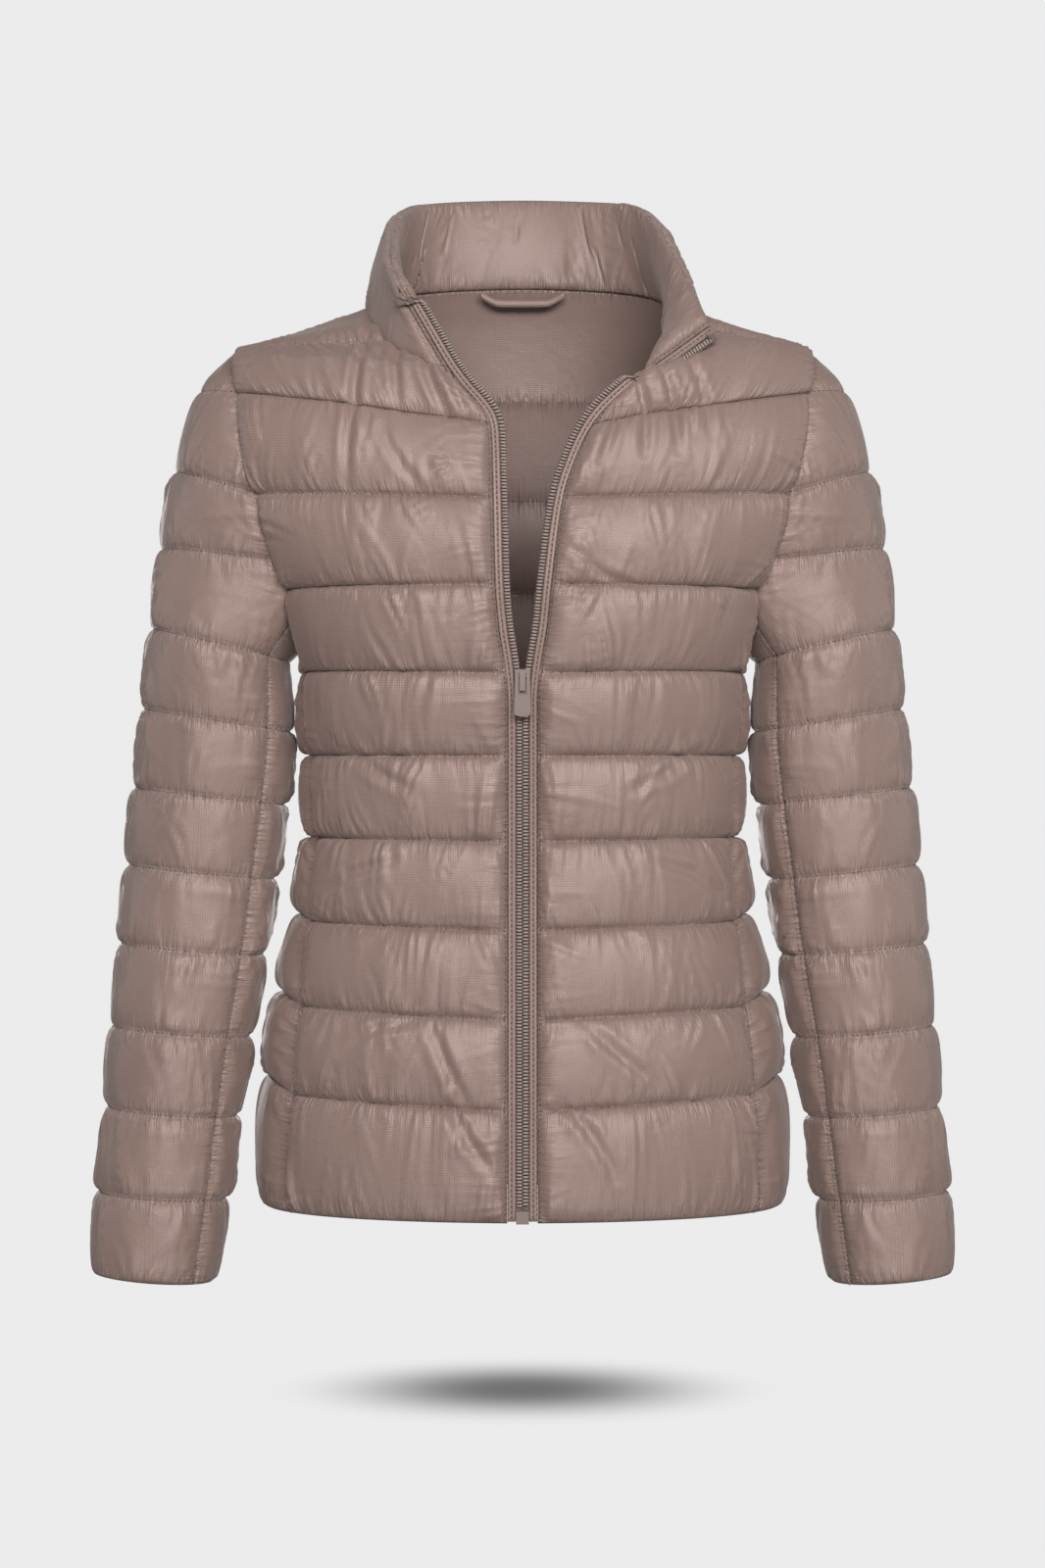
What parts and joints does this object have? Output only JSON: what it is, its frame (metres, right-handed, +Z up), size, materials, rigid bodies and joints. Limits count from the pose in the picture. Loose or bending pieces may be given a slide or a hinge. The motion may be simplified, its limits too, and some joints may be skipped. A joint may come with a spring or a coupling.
{
  "type": "puffer jacket",
  "caption": "Lightweight quilted puffer jacket with a stand collar, half open at the front zip, filled out as if worn.",
  "frame": {"origin": "middle of the neck base, level with the two neck points, where the wearer's shoulders hold the jacket", "axes": "+Z up, +X to the wearer's left, +Y to the back"},
  "size_m": [0.5764, 0.2377, 0.7409],
  "materials": {
    "cloth": "satin ripstop shell, lightly crinkled",
    "zip_tape": "matt woven tape",
    "zip_coil": "moulded coil",
    "zip_metal": "satin enamel in the colour of the cloth"
  },
  "bodies": {
    "jacket": {"front_right": "cloth", "front_left": "cloth", "back": "cloth", "side_left": "cloth", "side_right": "cloth", "sleeve_upper_left": "cloth", "sleeve_under_left": "cloth", "sleeve_upper_right": "cloth", "sleeve_under_right": "cloth", "collar_outer": "cloth", "collar_inner": "cloth", "zip_band_left": "cloth", "zip_band_right": "cloth", "hanger_loop": "cloth", "zip_tape_left": "zip_tape", "zip_tape_right": "zip_tape", "zip_coil_left": "zip_coil", "zip_coil_right": "zip_coil", "zip_slider": "zip_metal", "zip_box": "zip_metal", "top_stop_left": "zip_metal", "top_stop_right": "zip_metal"},
    "pull_tab": {"pull_tab": "zip_metal"}
  },
  "joints": [
    {"name": "tab_swing", "type": "hinge", "parent": "jacket", "child": "pull_tab", "pos_m": [0, -0.11228, -0.2544], "axis": [-1, 0, 0], "range_deg": [0, 150]}
  ]
}
